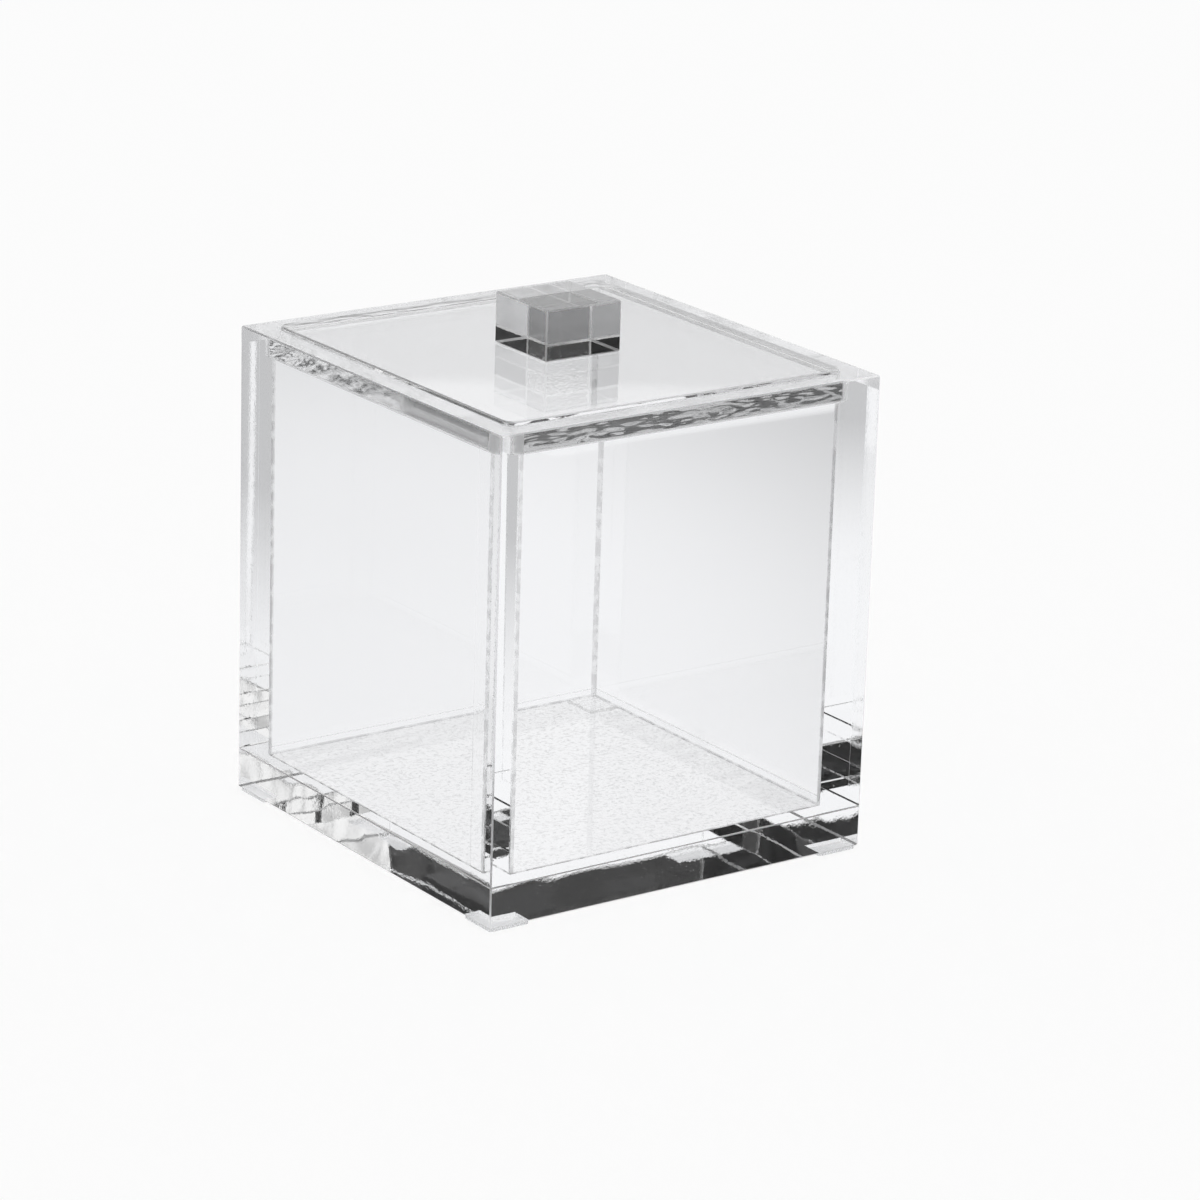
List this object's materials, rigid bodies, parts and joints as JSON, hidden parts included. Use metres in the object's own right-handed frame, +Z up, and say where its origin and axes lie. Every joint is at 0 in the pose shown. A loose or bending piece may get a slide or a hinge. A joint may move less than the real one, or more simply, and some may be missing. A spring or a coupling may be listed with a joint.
{
  "type": "acrylic storage box with lid",
  "caption": "Thick-walled clear acrylic storage box whose rounded drop-in lid sits in a rabbet around the rim and lifts off by a square block knob.",
  "frame": {"origin": "on the table under the middle of the box, level with the undersides of the feet", "axes": "+Z up, +X along the front wall towards the right wall, +Y from the front wall towards the back wall"},
  "size_m": [0.125, 0.13, 0.1534],
  "materials": {
    "clear_acrylic": "clear polished cast acrylic",
    "clear_pad": "clear soft polyurethane"
  },
  "bodies": {
    "box": {"base_plate": "clear_acrylic", "front_wall": "clear_acrylic", "back_wall": "clear_acrylic", "left_wall": "clear_acrylic", "right_wall": "clear_acrylic", "foot_front_left": "clear_pad", "foot_front_right": "clear_pad", "foot_back_left": "clear_pad", "foot_back_right": "clear_pad"},
    "lid": {"lid_plate": "clear_acrylic", "lid_knob": "clear_acrylic"}
  },
  "joints": [
    {"name": "lid_lift", "type": "slide", "parent": "box", "child": "lid", "axis": [0, 0, 1], "range_m": [0, 0.15]}
  ]
}
